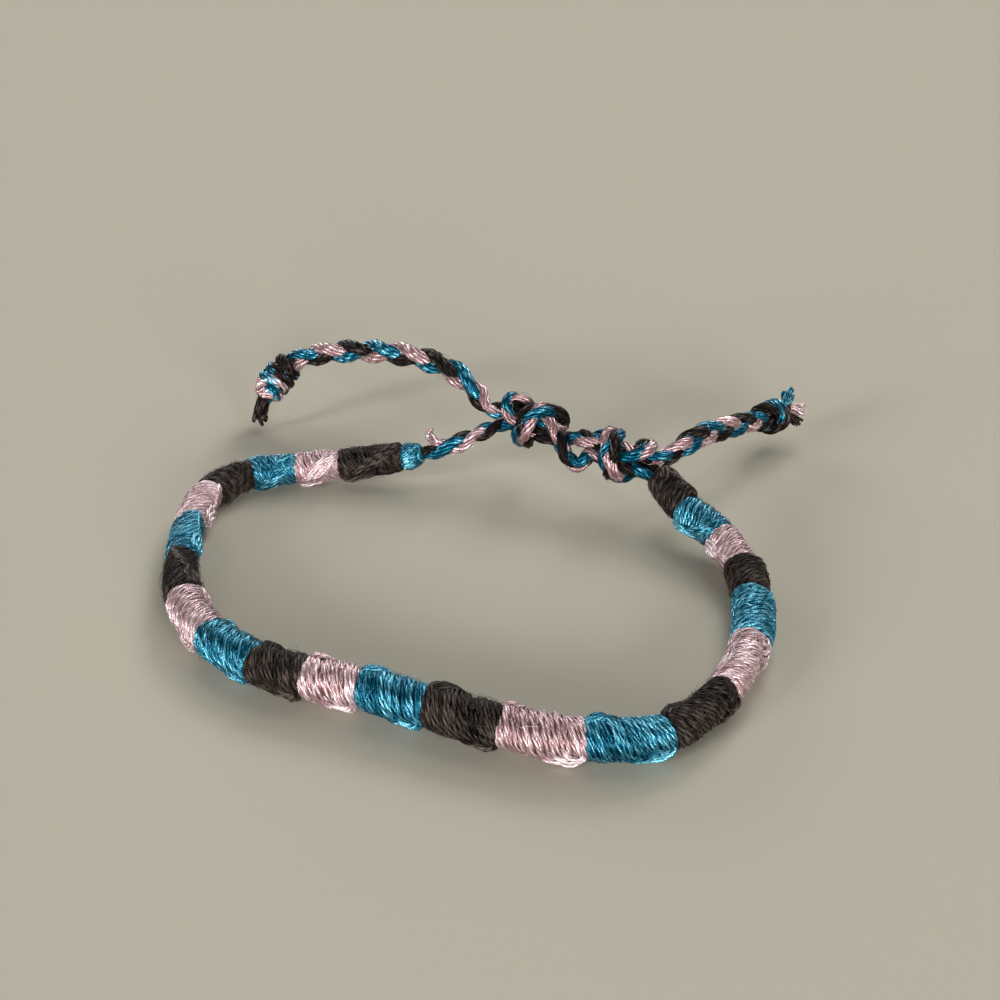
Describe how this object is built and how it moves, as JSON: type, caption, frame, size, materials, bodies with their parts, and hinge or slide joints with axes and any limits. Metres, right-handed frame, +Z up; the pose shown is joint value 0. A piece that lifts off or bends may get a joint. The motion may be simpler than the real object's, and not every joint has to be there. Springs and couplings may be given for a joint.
{
  "type": "woven friendship bracelet",
  "caption": "Soft round wrist loop of coloured thread wound in short bands over a core, closed by two plaited ties knotted round each other, with knotted ends.",
  "frame": {"origin": "on the surface that the bracelet lies on, under the middle of the box round the wrapped band", "axes": "+Z up out of the surface and along the wrist opening, +Y from the front of the band to the closing knots at the back, +X to the right seen from the front"},
  "size_m": [0.0813, 0.0769, 0.0142],
  "materials": {
    "teal_thread": "silky",
    "brown_thread": "matte, fuzzy",
    "pink_thread": "silky",
    "braid": "silky, three colours",
    "core_thread": "matte"
  },
  "bodies": {
    "root": {"core_cord": "core_thread", "wrap_01_teal": "teal_thread", "wrap_02_brown": "brown_thread", "wrap_03_pink": "pink_thread", "wrap_04_teal": "teal_thread", "wrap_05_brown": "brown_thread", "wrap_06_pink": "pink_thread", "wrap_07_teal": "teal_thread", "wrap_08_brown": "brown_thread", "wrap_09_pink": "pink_thread", "wrap_10_teal": "teal_thread", "wrap_11_brown": "brown_thread", "wrap_12_pink": "pink_thread", "wrap_13_teal": "teal_thread", "wrap_14_brown": "brown_thread", "wrap_15_pink": "pink_thread", "wrap_16_teal": "teal_thread", "wrap_17_brown": "brown_thread", "wrap_18_pink": "pink_thread", "wrap_19_teal": "teal_thread", "wrap_20_brown": "brown_thread", "wrap_21_pink": "pink_thread", "wrap_22_teal": "teal_thread", "wrap_23_brown": "brown_thread", "tie_left": "braid", "tie_right": "braid", "end_knot_left": "braid", "end_knot_right": "braid"}
  },
  "joints": []
}
